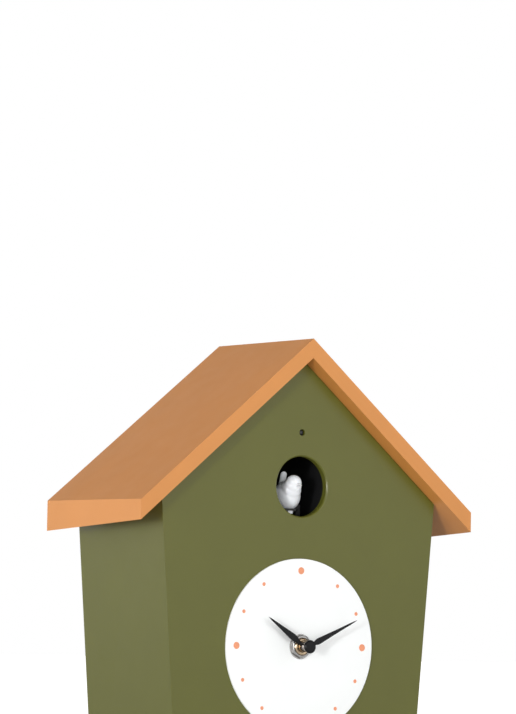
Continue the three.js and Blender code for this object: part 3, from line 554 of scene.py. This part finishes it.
def screws():
    """Pan-head screws with a cross recess, each at the place of its CAD node."""
    head = [(1.45, 0), (3.1, 0), (3.1, 0.55), (2.85, 1.1), (2.3, 1.5), (1.4, 1.74)]
    shank = [(0.001, -10.45), (0.9, -9.9), (1.45, -9.0)]
    for index in range(1, 5):
        name = f"back_screw_{index}"
        low, high = (Vector(corner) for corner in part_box(name))
        centre = Vector(((low.x + high.x) / 2, high.y - 1.8 * MM, (low.z + high.z) / 2))
        long, short = 1.75 * MM, 0.42 * MM
        crosses = []
        for half in ((long, short), (short, long)):
            reach = Vector((half[0], 0, half[1]))
            crosses.append(block(centre - reach + Vector((0, 0.7 * MM, 0)),
                                 centre + reach + Vector((0, 3 * MM, 0))))
        profile = [*shank, *fillet_open(head, 0.12), (0.001, 1.8)]
        turned(f"{name}_turned", profile, centre, 48, MATERIALS["plated_steel"], "case", (name,),
               crosses)


# ------------------------------------------------------------------ bird
def bird():
    """A plump little bird with a raised tail: lobes melted together, then smoothed."""
    low, high = (Vector(corner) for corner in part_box("bird"))
    floor = low.z
    x, y = (low.x + high.x) / 2, -24 * MM
    work = bmesh.new()

    def lobe(radii, place, tilt=0.0, yaw=0.0):
        size = Matrix.Diagonal((*[r * MM for r in radii], 1.0))
        turn = Matrix.Rotation(yaw, 4, "Z") @ Matrix.Rotation(tilt, 4, "X")
        shift = Matrix.Translation(Vector((x, y, floor)) + Vector(place) * MM)
        bmesh.ops.create_icosphere(work, subdivisions=4, radius=1.0, matrix=shift @ turn @ size)

    lobe((7.7, 7.8, 8.8), (0, 0, 7.6))
    lobe((6.6, 6.1, 7.6), (0, -2.0, 8.8))
    lobe((6.3, 5.9, 6.6), (0, -3.3, 10.7))
    lobe((5.4, 5.4, 5.4), (0, -5.0, 12.9))
    lobe((4.55, 4.55, 4.6), (0, -6.5, 14.6))
    for side in (-1, 1):
        lobe((1.4, 5.2, 4.2), (side * 6.6, 3.2, 8.0), 0.4, side * 0.1)
    for step in range(6):
        share = step / 5
        lobe((2.4 - 0.2 * share, 1.5 - 0.5 * share, 2.0), (0, 6.0 - 1.9 * share, 13.0 + 6.6 * share),
             0.25)
    for step in range(6):
        share = step / 5
        lobe((1.15 - 0.9 * share, 1.1, 0.95 - 0.7 * share),
             (0, -10.3 - 4.2 * share, 13.6 - 0.6 * share))
    mesh = bpy.data.meshes.new("bird_body")
    work.to_mesh(mesh)
    work.free()
    obj = bpy.data.objects.new("bird_body", mesh)
    scene.collection.objects.link(obj)
    remesh = obj.modifiers.new("melt", "REMESH")
    remesh.mode = "VOXEL"
    remesh.voxel_size = 0.3 * MM
    relax = obj.modifiers.new("relax", "SMOOTH")
    relax.iterations = 9
    relax.factor = 0.5
    bake(obj)
    for vertex in obj.data.vertices:
        vertex.co.z = max(vertex.co.z, floor)
    for polygon in obj.data.polygons:
        polygon.use_smooth = True
    dress(obj, MATERIALS["bird_white"])
    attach(obj, "bird_carriage")
    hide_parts("bird")


# ------------------------------------------------------------------ stage, lights, camera
def floor():
    half = 30.0
    mesh = bpy.data.meshes.new("floor")
    corners = [(-half, -half, 0), (half, -half, 0), (half, half, 0), (-half, half, 0)]
    mesh.from_pydata(corners, [], [(0, 1, 2, 3)])
    obj = bpy.data.objects.new("floor", mesh)
    scene.collection.objects.link(obj)
    finish = Finish("floor_paper", (0.93, 0.93, 0.93), 0.8, specular=0.2)
    finish.set("Emission Color", (1, 1, 1, 1))
    away = finish.add("ShaderNodeVectorMath", operation="LENGTH")
    finish.link(finish.place, away.inputs[0])
    glow = finish.spread(away.outputs["Value"], 0.12, 0.9, 0.55, 4.0)
    finish.link(glow, finish.shader.inputs["Emission Strength"])
    finish.mottle(400, 0.004)
    dress(obj, finish.material)


def sky():
    """White studio surroundings, dimmer overhead, so that upward slopes are shaded."""
    world = bpy.data.worlds.new("studio")
    scene.world = world
    world.use_nodes = True
    tree = world.node_tree
    background = tree.nodes["Background"]
    coordinates = tree.nodes.new("ShaderNodeTexCoord")
    split = tree.nodes.new("ShaderNodeSeparateXYZ")
    ramp = tree.nodes.new("ShaderNodeMapRange")
    ramp.interpolation_type = "SMOOTHSTEP"
    ramp.inputs["From Min"].default_value = 0.2
    ramp.inputs["From Max"].default_value = 0.75
    ramp.inputs["To Min"].default_value = 1.0
    ramp.inputs["To Max"].default_value = 0.12
    tree.links.new(coordinates.outputs["Generated"], split.inputs["Vector"])
    tree.links.new(split.outputs["Z"], ramp.inputs["Value"])
    tree.links.new(ramp.outputs["Result"], background.inputs["Strength"])
    background.inputs["Color"].default_value = (1, 1, 1, 1)


def lamp(name, place, target, width, height, watts):
    data = bpy.data.lights.new(name, "AREA")
    data.shape = "RECTANGLE"
    data.size, data.size_y = width, height
    data.energy = watts
    obj = bpy.data.objects.new(name, data)
    scene.collection.objects.link(obj)
    obj.location = place
    obj.rotation_mode = "QUATERNION"
    obj.rotation_quaternion = (Vector(target) - Vector(place)).to_track_quat("-Z", "Y")


def lights():
    middle = (0, 0, 0.18)
    lamp("front_softbox", (-0.1, -3.0, 0.4), middle, 2.0, 2.0, 32)
    lamp("left_softbox", (-3.0, 0.1, 0.0), middle, 2.0, 1.6, 39)
    lamp("key_window", (-2.5, -1.65, 0.25), middle, 0.3, 0.5, 29)


def camera():
    """Stands to the left at the height of the hands, looking slightly up."""
    azimuth, rise, roll = (math.radians(angle) for angle in (33.441, 4.259, 1.074))
    aim_left, aim_above_hands, distance = 0.0313, 0.16374, 2.2041
    target = Vector((-aim_left, HOUSE_FRONT, DIAL_Z + aim_above_hands))
    back = Vector((-math.sin(azimuth) * math.cos(rise), -math.cos(azimuth) * math.cos(rise),
                   -math.sin(rise)))
    right = (-back).cross(Vector((0, 0, 1))).normalized()
    up = right.cross(-back)
    tilted_right = right * math.cos(roll) + up * math.sin(roll)
    tilted_up = up * math.cos(roll) - right * math.sin(roll)
    data = bpy.data.cameras.new("camera")
    data.sensor_width = 36
    data.lens = 195.46
    data.clip_end = 100
    obj = bpy.data.objects.new("camera", data)
    scene.collection.objects.link(obj)
    place = target + back * distance
    rotation = Matrix((tilted_right, tilted_up, back)).transposed().to_4x4()
    obj.matrix_world = Matrix.Translation(place) @ rotation
    scene.camera = obj


finish_cad_nodes()
dial()
dots()
hex_nut()
bushing()
cap()
screws()
bird()
floor()
sky()
lights()
camera()
scene.view_settings.view_transform = "Standard"
